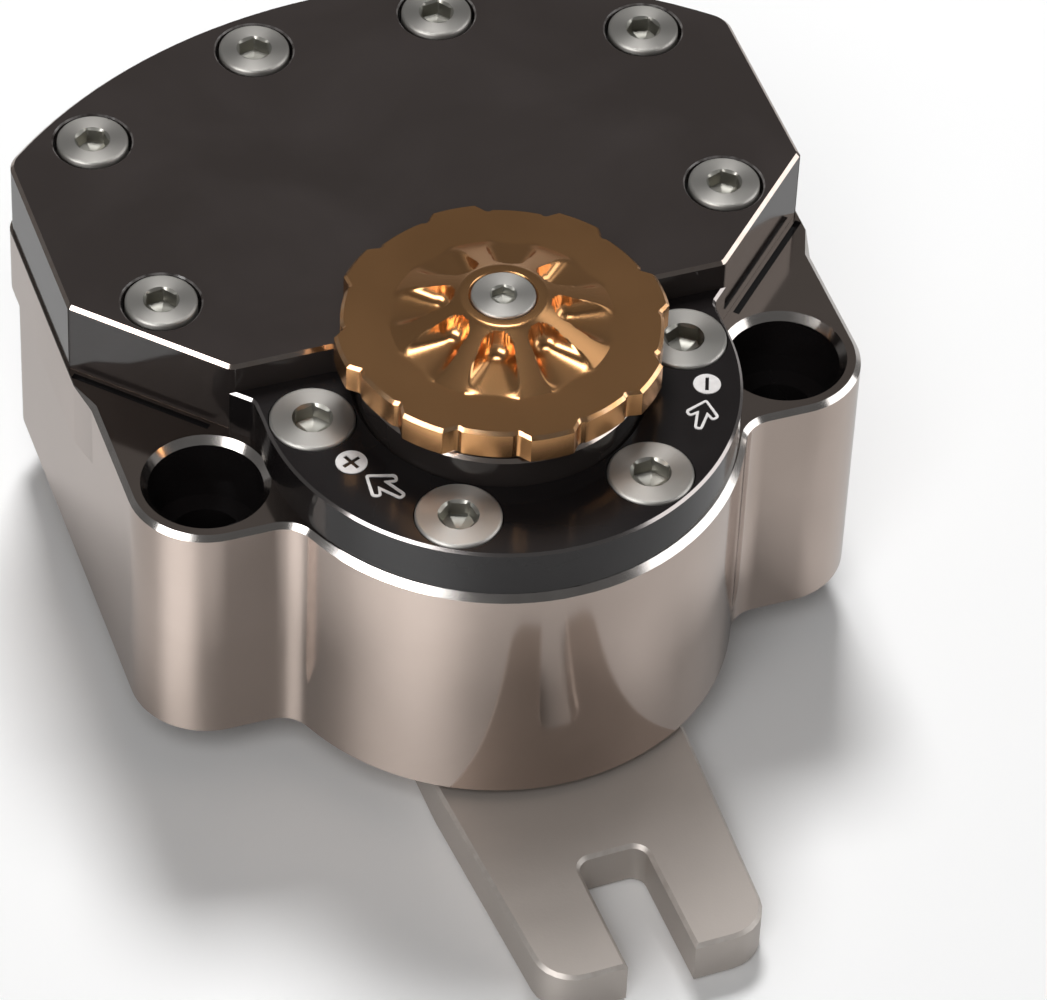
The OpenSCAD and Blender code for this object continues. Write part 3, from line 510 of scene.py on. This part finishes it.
housing = {
    "edge": 0.62 * mm, "narrow": 0.08 * mm, "edgeFrom": 26.2 * mm, "edgeFade": 3 * mm, "foot": 0.35 * mm,
    "noseWiden": 0.16 * mm, "noseEnd": 26.5 * mm, "noseFade": 3 * mm,
    "seatAt": 35.5 * mm, "seatRadius": 6.7 * mm, "seatSpare": 0.1 * mm,
    "rim": 0.85 * mm, "rimReach": 1.0 * mm, "rimDepth": 0.6 * mm,
    "grooveDepth": 1.0 * mm, "grooveFrom": 20 * mm, "grooveLine": 23.3 * mm, "grooveGap": 0.5 * mm,
    "grooveShift": 0.42 * mm, "grooveReach": 0.7 * mm, "grooveNear": 0.03 * mm, "grooveSpare": 0.005 * mm,
}
slanted = (0.3, 0.95)                       # how far up a chamfer's face looks, between a wall and a flat top


def seatRim(bm, h, high):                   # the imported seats' chamfer is made wider
    for v in bm.verts:
        out = hypot(abs(v.co.x) - h["seatAt"], v.co.y)
        if v.co.z < high - h["rimDepth"] or out > h["seatRadius"] + h["rimReach"]:
            continue
        if v.co.z > high - sameLevel:
            middle = h["seatAt"] if v.co.x > 0 else -h["seatAt"]
            grown = (h["seatRadius"] + h["rim"]) / out
            v.co.x = middle + (v.co.x - middle) * grown
            v.co.y *= grown
        else:
            v.co.z = high - h["rim"]


def housingEdge(h, x, y):                   # none under the cover, a little wider over the nose
    clear = min(1, max(0, (abs(x) - y - h["edgeFrom"]) / h["edgeFade"]))
    nose = min(1, max(0, (h["noseEnd"] - abs(x)) / h["noseFade"])) if y < 0 else 0
    return clear * h["edge"] + nose * h["noseWiden"]


def grooveEdge(bm, h, high):                # the drain grooves reach in to the foot of the cover
    for v in bm.verts:
        off = (abs(v.co.x) - v.co.y - h["grooveLine"]) / sqrt(2)
        inReach = abs(v.co.x) > h["grooveFrom"] and v.co.z > high - h["grooveReach"]
        if inReach and abs(off - h["grooveGap"]) < h["grooveNear"]:
            step = h["grooveShift"] / sqrt(2)
            v.co.x -= step if v.co.x > 0 else -step
            v.co.y += step


def makeHousing(h):
    bm = solidFrom("housing")
    low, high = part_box("housing")
    rim = breakEdges(bm, flatLoops(bm, high.z)[0], h["narrow"])
    # the rim chamfer takes the painted highlight finish
    for face in rim:
        face.material_index = 2
    widenEdge(rim, high.z, lambda p: housingEdge(h, p.x, p.y))
    breakEdges(bm, flatLoops(bm, low.z)[0], h["foot"])
    seatRim(bm, h, high.z)
    grooveEdge(bm, h, high.z)
    refill(bm, high.z, 1)
    refill(bm, low.z, -1)
    bm.normal_update()
    broken = bm.faces.layers.float["edge"]
    for face in bm.faces:                   # painted shade inside the seats and drain grooves, a painted highlight on the seats' rims
        middle = face.calc_center_median()
        seatOut = hypot(abs(middle.x) - h["seatAt"], middle.y) - h["seatRadius"]
        deep = high.z - middle.z
        inGroove = (not face[broken] and abs(middle.x) > h["grooveFrom"]
                    and h["grooveDepth"] > deep - sameLevel > -h["grooveSpare"] and deep > h["grooveSpare"])
        if seatOut < h["rim"] and slanted[0] < face.normal.z < slanted[1]:
            face.material_index = 2
        elif seatOut < h["seatSpare"] or inGroove:
            face.material_index = 1
    shell = addPiece("housingShell", bm, "greyAnodised", "casing", ["housing"])
    # the second slot is painted shade in the seats and grooves, the third a painted highlight on the edges
    shell.data.materials.append(metals["blackAnodisedAndShade"])
    shell.data.materials.append(metals["paintedHighlightEdge"])


cover = {"edge": 0.42 * mm, "narrow": 0.04 * mm, "foot": 0.30 * mm, "well": 0.20 * mm, "wellWidth": 8 * mm,
         "wellsFrom": 20 * mm}


def makeCover(c):
    bm = solidFrom("top_cover")
    low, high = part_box("top_cover")
    rings = flatLoops(bm, high.z)
    wells = [ring for ring in rings[1:]
             if loopBox(ring)[2] > c["wellWidth"] and hypot(*loopBox(ring)[:2]) > c["wellsFrom"]]
    rim = breakEdges(bm, rings[0], c["narrow"])
    for face in rim:
        face.material_index = 1
    widenEdge(rim, high.z, lambda p: c["edge"])
    breakEdges(bm, [e for ring in wells for e in ring], c["well"])
    breakEdges(bm, flatLoops(bm, low.z)[0], c["foot"])
    refill(bm, high.z, 1)
    refill(bm, low.z, -1)
    # the cover's body takes the painted shade colour; its rim chamfer keeps the grey anodised colour
    plate = addPiece("coverPlate", bm, "paintedShadeAnodised", "casing", ["top_cover"])
    plate.data.materials.append(metals["greyAnodised"])


nosePlate = {"edge": 0.32 * mm}


def makeNosePlate(n):
    bm = solidFrom("nose_plate")
    low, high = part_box("nose_plate")
    # the top chamfer takes the painted highlight finish
    for face in breakEdges(bm, flatLoops(bm, high.z)[0], n["edge"]):
        face.material_index = 1
    refill(bm, high.z, 1)
    refill(bm, low.z, -1)
    ring = addPiece("noseRing", bm, "blackAnodisedAndShade", "casing", ["nose_plate"])
    ring.data.materials.append(metals["paintedHighlightPlateEdge"])


arm = {"edge": 0.45 * mm}


def makeArm(a):
    bm = solidFrom("link_arm")
    low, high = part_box("link_arm")
    for z in (low.z, high.z):
        breakEdges(bm, flatLoops(bm, z)[0], a["edge"])
        refill(bm, z, 1 if z == high.z else -1)
    addPiece("forkArm", bm, "satinArm", "rotor", ["link_arm"])


makeHousing(housing)
makeCover(cover)
makeNosePlate(nosePlate)
makeArm(arm)


# Turned pieces: a profile of (radius, height) points in millimetres is spun about the Z axis
def spun(profile, steps, closed=False):
    bm = bmesh.new()
    verts = [bm.verts.new((r * mm, 0, z * mm)) for r, z in profile]
    ends = list(zip(verts, verts[1:])) + ([(verts[-1], verts[0])] if closed else [])
    edges = [bm.edges.new(pair) for pair in ends]
    bmesh.ops.spin(bm, geom=verts + edges, cent=(0, 0, 0), axis=(0, 0, 1), angle=2 * pi, steps=steps,
                   use_merge=True)
    bmesh.ops.remove_doubles(bm, verts=bm.verts, dist=0.001 * mm)
    bmesh.ops.recalc_face_normals(bm, faces=bm.faces)
    bm.faces.layers.float.new("edge")
    return bm


def turnedMap(bm):                          # U runs out from the axis and down the sides, V round it
    layer = bm.loops.layers.uv.new("turned")
    for face in bm.faces:
        middle = face.calc_center_median()
        start = atan2(middle.y, middle.x)
        for loop in face.loops:
            p = loop.vert.co
            turn = atan2(p.y, p.x) - start if hypot(p.x, p.y) > 0.01 * mm else 0
            turn = (turn + pi) % (2 * pi) - pi
            loop[layer].uv = ((hypot(p.x, p.y) - p.z) / mm, (start + turn) * 3)


screwShape = {"steps": 96, "roundAt": (0, 22.5, 45, 67.5, 90), "drillCone": 0.35, "draft": 0.98,
              "leadOut": 0.08, "tip": 0.4}


def screwBody(s):
    h, e, r = s["thick"], s["round"], s["head"]
    floorZ = h - s["depth"]
    tip = screwShape["tip"]
    arc = [(r - e + e * sin(radians(a)), h - e + e * cos(radians(a))) for a in screwShape["roundAt"]]
    socket = [(0, floorZ - screwShape["drillCone"] * s["socket"]),
              (s["socket"] * screwShape["draft"], floorZ), (s["socket"], h - s["lead"]),
              (s["socket"] + screwShape["leadOut"], h)]
    shank = [(r, 0), (s["thread"], 0), (s["thread"], tip - s["length"]), (s["thread"] - tip, -s["length"]),
             (0, -s["length"])]
    bm = spun(socket + arc + shank, screwShape["steps"])
    for v in bm.verts:                      # the socket's walls are drawn in from round to six flats
        radius = hypot(v.co.x, v.co.y)
        if 0.01 * mm < radius < (s["socket"] + 0.01) * mm and v.co.z > (floorZ - 0.01) * mm:
            turn = degrees(atan2(v.co.y, v.co.x)) % 60 - 30
            flat = cos(radians(30)) / cos(radians(turn))
            v.co.x *= flat
            v.co.y *= flat
    for face in bm.faces:                   # painted shade: the socket inside is darker than the turned head
        middle = face.calc_center_median()
        if middle.to_2d().length < (s["socket"] + 0.02) * mm and middle.z > (floorZ - s["socket"]) * mm:
            face.material_index = 1
    turnedMap(bm)
    return bm


def addScrews(s):
    whole = bmesh.new()
    for place in s["at"]:
        x, y, z, turn = place
        one = screwBody(s)
        if s.get("down"):
            bmesh.ops.rotate(one, verts=one.verts, cent=(0, 0, 0), matrix=Matrix.Rotation(pi, 3, "X"))
        bmesh.ops.rotate(one, verts=one.verts, cent=(0, 0, 0), matrix=Matrix.Rotation(radians(turn), 3, "Z"))
        bmesh.ops.translate(one, verts=one.verts, vec=(x * mm, y * mm, z * mm))
        held = bpy.data.meshes.new("oneScrew")
        one.to_mesh(held)
        one.free()
        whole.from_mesh(held)
        bpy.data.meshes.remove(held)
    piece = addPiece(s["name"], whole, "turnedSteel", s["body"], [s["node"]], sharp=32)
    piece.data.materials.append(metals["paintedShadeSocketSteel"])


screws = [
    {"name": "coverScrews", "node": "cover_screws", "body": "casing",
     "head": 4.25, "thick": 2.95, "round": 0.35, "socket": 2.05, "depth": 2.0, "lead": 0.25, "thread": 2.5,
     "length": 18.4,
     "at": [(-34.8, 20.0, 40.4, 8), (34.8, 20.0, 40.4, 20), (-34.8, 48.63, 40.4, 34),
            (34.8, 48.63, 40.4, 50), (-11.6, 58.664, 40.4, 15), (11.6, 58.664, 40.4, 5)]},
    {"name": "plateScrews", "node": "plate_screws", "body": "casing",
     "head": 5.0, "thick": 2.95, "round": 0.35, "socket": 2.3, "depth": 2.0, "lead": 0.3, "thread": 3.0,
     "length": 14.7,
     "at": [(-22.7, 0, 36.7, 10), (22.7, 0, 36.7, 25), (-11.555, -19.539, 36.7, 40),
            (11.555, -19.539, 36.7, 5)]},
    {"name": "knobBolt", "node": "knob_screw", "body": "adjuster", "head": 3.75, "thick": 1.75, "round": 0.25,
     "socket": 1.5, "depth": 1.2, "lead": 0.2, "thread": 2.0, "length": 7.4, "at": [(0, 0, 51.2, 12)]},
    {"name": "armBolt", "node": "arm_screw", "body": "rotor", "head": 5.4, "thick": 2.2, "round": 0.3,
     "socket": 2.3, "depth": 1.5, "lead": 0.25, "thread": 3.0, "length": 9.9, "down": True,
     "at": [(0, 0, -4.9, 2)]},
    {"name": "fillBolts", "node": "fill_screws", "body": "casing", "head": 4.4, "thick": 2.8, "round": 0.3,
     "socket": 2.0, "depth": 1.9, "lead": 0.25, "thread": 2.5, "length": 7.0, "down": True,
     "at": [(-20, 40, 3.2, 14), (20, 40, 3.2, 37)]},
]
for screw in screws:
    addScrews(screw)


knob = {
    "bottom": 45.0, "rim": 49.0, "hub": 52.8, "land": 19.5, "grip": 0.9, "topEdge": 0.4, "footEdge": 0.3,
    "cone": 13.0, "hubRadius": 4.95, "well": 3.9, "wellDepth": 1.6, "bore": 2.25,
    "drive": 4.5, "driveDepth": 3.1, "slot": (13.05, 16.15), "slotDepth": 1.6, "slotHalf": 141.5,
    "steps": 480, "coneRings": 30, "coneTo": 13.3, "rimRings": (13.4, 15.0, 16.6, 17.6), "same": 0.01,
    "lands": 8, "firstLand": -91.5, "landSteps": 10, "slopeSteps": 4, "notch": 0.22, "gripFrom": 18.7,
    "edgeFrom": 18,
    "scoopFrom": 7.7, "scoopTo": 12.6, "scoopHalf": (2.0, 4.05), "scoopFloor": (0.45, 0.0), "scoopWall": 2.6,
    "scoopBend": (2.6, 3.4), "scoopLip": (0.14, 0.30),
    "dimples": 24, "dimpleAt": 11.2, "dimpleBall": 1.5, "dimpleDip": 0.4, "dimpleBand": (9.9, 12.5),
    "dimpleRings": {"from": 12.4, "step": 0.24, "count": 11},
}


def knobProfile(k):
    hubOut = k["hubRadius"] + 0.4
    hubLow = k["hub"] - 0.2
    rings = k["coneRings"]
    cone = [(hubOut + (k["cone"] - hubOut) * i / rings, hubLow + (k["rim"] - hubLow) * i / rings)
            for i in range(rings + 1)]
    rimFlat = [(r, k["rim"]) for r in k["rimRings"]]
    top = [(k["bore"], k["hub"] - k["wellDepth"]), (k["well"], k["hub"] - k["wellDepth"]),
           (k["well"], k["hub"] - 0.15), (k["well"] + 0.15, k["hub"]), (k["hubRadius"] - 0.1, k["hub"]),
           (k["hubRadius"] + 0.16, k["hub"] - 0.06)]
    side = [(k["land"] - k["topEdge"], k["rim"]), (k["land"], k["rim"] - k["topEdge"]),
            (k["land"], k["bottom"] + k["footEdge"]), (k["land"] - k["footEdge"], k["bottom"])]
    under = [(k["slot"][1], k["bottom"]), (k["slot"][0], k["bottom"])]
    d = k["dimpleRings"]
    under += [(d["from"] - d["step"] * i, k["bottom"]) for i in range(d["count"])]
    under += [(k["drive"], k["bottom"]), (k["drive"], k["bottom"] + k["driveDepth"]),
              (k["bore"], k["bottom"] + k["driveDepth"])]
    return top + cone + rimFlat + side + under


def landShape(k, stepsOff):                 # how far the grip is drawn in, from the steps off a land's middle
    foot = k["landSteps"] + k["slopeSteps"]
    if stepsOff <= k["landSteps"]:
        return 0
    if stepsOff < foot:
        return k["grip"] * (stepsOff - k["landSteps"]) / k["slopeSteps"]
    notch = max(0, 1 - abs(stepsOff - foot - 2) / 2.01)
    return k["grip"] + k["notch"] * sqrt(notch)


def scooped(k, z, x, y):                    # the cone's height z less a scoop, x out from the knob's axis
    out = min(1, max(0, (x - k["scoopFrom"]) / (k["scoopTo"] - k["scoopFrom"])))
    half, low, bend, lip = (a + (b - a) * out
                            for a, b in (k["scoopHalf"], k["scoopFloor"], k["scoopBend"], k["scoopLip"]))
    q = hypot(min(0, x - k["scoopFrom"]), y) / half
    if q >= 1:
        return z
    scoop = k["rim"] + low + k["scoopWall"] * (1 - (1 - q ** bend) ** (1 / bend))
    blend = max(lip - abs(z - scoop), 0) / lip
    return max(k["rim"], min(z, scoop) - blend * blend * lip / 4)


def makeKnob(k):
    bm = spun(knobProfile(k), k["steps"], closed=True)
    stepAngle = 360 / k["steps"]
    pitch = k["steps"] // k["lands"]
    for v in bm.verts:
        r, z = hypot(v.co.x, v.co.y) / mm, v.co.z / mm
        turn = degrees(atan2(v.co.y, v.co.x)) - k["firstLand"]
        fromLand = (turn / stepAngle) % pitch
        stepsOff = min(fromLand, pitch - fromLand)
        if r > k["gripFrom"]:
            drawn = (r - landShape(k, round(stepsOff))) / r
            v.co.x *= drawn
            v.co.y *= drawn
        elif k["hubRadius"] + 0.2 < r < k["coneTo"] and z > k["rim"] - k["same"]:
            off = radians(((turn / stepAngle) % pitch - pitch / 2) * stepAngle)
            v.co.z = scooped(k, z, r * cos(off), r * sin(off)) * mm
        elif k["dimpleBand"][0] < r < k["dimpleBand"][1] and z < k["bottom"] + k["same"]:
            each = 360 / k["dimples"]
            off = radians((degrees(atan2(v.co.y, v.co.x)) + each / 2) % each - each / 2)
            near = hypot(r * cos(off) - k["dimpleAt"], r * sin(off))
            if near < k["dimpleBall"]:
                rise = sqrt(k["dimpleBall"] ** 2 - near ** 2) - k["dimpleBall"] + k["dimpleDip"]
                v.co.z += max(0, rise) * mm
    slot = [f for f in bm.faces
            if abs(f.calc_center_median().z / mm - k["bottom"]) < k["same"]
            and k["slot"][0] < f.calc_center_median().to_2d().length / mm < k["slot"][1]
            and abs(degrees(atan2(f.calc_center_median().x, f.calc_center_median().y))) < k["slotHalf"]]
    raised = bmesh.ops.extrude_face_region(bm, geom=slot)["geom"]
    bmesh.ops.translate(bm, verts=[v for v in raised if isinstance(v, bmesh.types.BMVert)],
                        vec=(0, 0, k["slotDepth"] * mm))
    bmesh.ops.delete(bm, geom=slot, context="FACES_ONLY")
    layer = bm.faces.layers.float["edge"]
    for face in bm.faces:
        out = face.calc_center_median().to_2d().length
        if slanted[0] < face.normal.z < slanted[1] and out > k["edgeFrom"] * mm:
            face[layer] = 1.0
    addPiece("gripKnob", bm, "bronzeAnodised", "adjuster", ["knob"], sharp=24)


makeKnob(knob)


# Marks beside the knob: the plus and minus discs, and arrows drawn as a rounded line
marks = {
    "thick": 0.12, "discReach": 2.0 * mm, "cornerSteps": 4,
    "arrow": [(0, 2.90, 0.45), (2.35, 0.10, 0.50), (1.50, -0.80, 0.50), (0.80, -0.06, 0.12),
              (0.55, -2.72, 0.42), (-0.55, -2.72, 0.42), (-0.80, -0.06, 0.12), (-1.50, -0.80, 0.50),
              (-2.35, 0.10, 0.50)],
    "inner": [(0, 2.38, 0.20), (1.82, 0.12, 0.20), (1.52, -0.30, 0.16), (0.52, 0.62, 0.12),
              (0.22, -2.36, 0.15), (-0.22, -2.36, 0.15), (-0.52, 0.62, 0.12), (-1.52, -0.30, 0.16),
              (-1.82, 0.12, 0.20)],
    "places": [{"at": (-18.08, -12.63), "turn": 34.3, "scale": 1.0},
               {"at": (20.42, -12.37), "turn": -31.6, "scale": 0.89}],
}


def roundedLoop(bm, corners, steps):        # corners are (x, y, radius) in millimetres
    verts = [bm.verts.new((x * mm, y * mm, 0)) for x, y, r in corners]
    face = bm.faces.new(verts)
    for size in sorted({r for x, y, r in corners}):
        group = [v for v, (x, y, r) in zip(verts, corners) if r == size]
        bmesh.ops.bevel(bm, geom=group, offset=size * mm, offset_type="OFFSET", segments=steps, profile=0.5,
                        affect="VERTICES", material=-1)
    face = [f for f in bm.faces if len(f.verts) > 4][-1]
    edges = list(face.edges)
    bmesh.ops.delete(bm, geom=[face], context="FACES_ONLY")
    return edges


def addArrow(whole, m, place, z):
    bm = bmesh.new()
    loops = roundedLoop(bm, m["arrow"], m["cornerSteps"])
    loops += roundedLoop(bm, m["inner"], m["cornerSteps"])
    ring = bmesh.ops.bridge_loops(bm, edges=loops)["faces"]
    grown = bmesh.ops.extrude_face_region(bm, geom=ring)["geom"]
    top = [v for v in grown if isinstance(v, bmesh.types.BMVert)]
    bmesh.ops.translate(bm, verts=top, vec=(0, 0, m["thick"] * mm))
    bmesh.ops.scale(bm, verts=bm.verts, vec=(place["scale"], place["scale"], 1))
    turned = Matrix.Rotation(radians(place["turn"]), 3, "Z")
    bmesh.ops.rotate(bm, verts=bm.verts, cent=(0, 0, 0), matrix=turned)
    bmesh.ops.translate(bm, verts=bm.verts, vec=(place["at"][0] * mm, place["at"][1] * mm, z))
    bmesh.ops.recalc_face_normals(bm, faces=bm.faces)
    held = bpy.data.meshes.new("oneArrow")
    bm.to_mesh(held)
    bm.free()
    whole.from_mesh(held)
    bpy.data.meshes.remove(held)


def makeMarks(m):
    whole = solidFrom("plate_marks")
    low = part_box("plate_marks")[0]
    left = set(whole.verts)
    while left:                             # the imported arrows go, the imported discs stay
        front = [left.pop()]
        island = []
        while front:
            v = front.pop()
            island.append(v)
            for e in v.link_edges:
                other = e.other_vert(v)
                if other in left:
                    left.remove(other)
                    front.append(other)
        middle = sum((v.co for v in island), Vector()) / len(island)
        reach = max((v.co - middle).to_2d().length for v in island)
        if reach > m["discReach"]:
            bmesh.ops.delete(whole, geom=island, context="VERTS")
    for place in m["places"]:
        addArrow(whole, m, place, low.z)
    addPiece("plateSymbols", whole, "whiteInfill", "casing", ["plate_marks"])


makeMarks(marks)
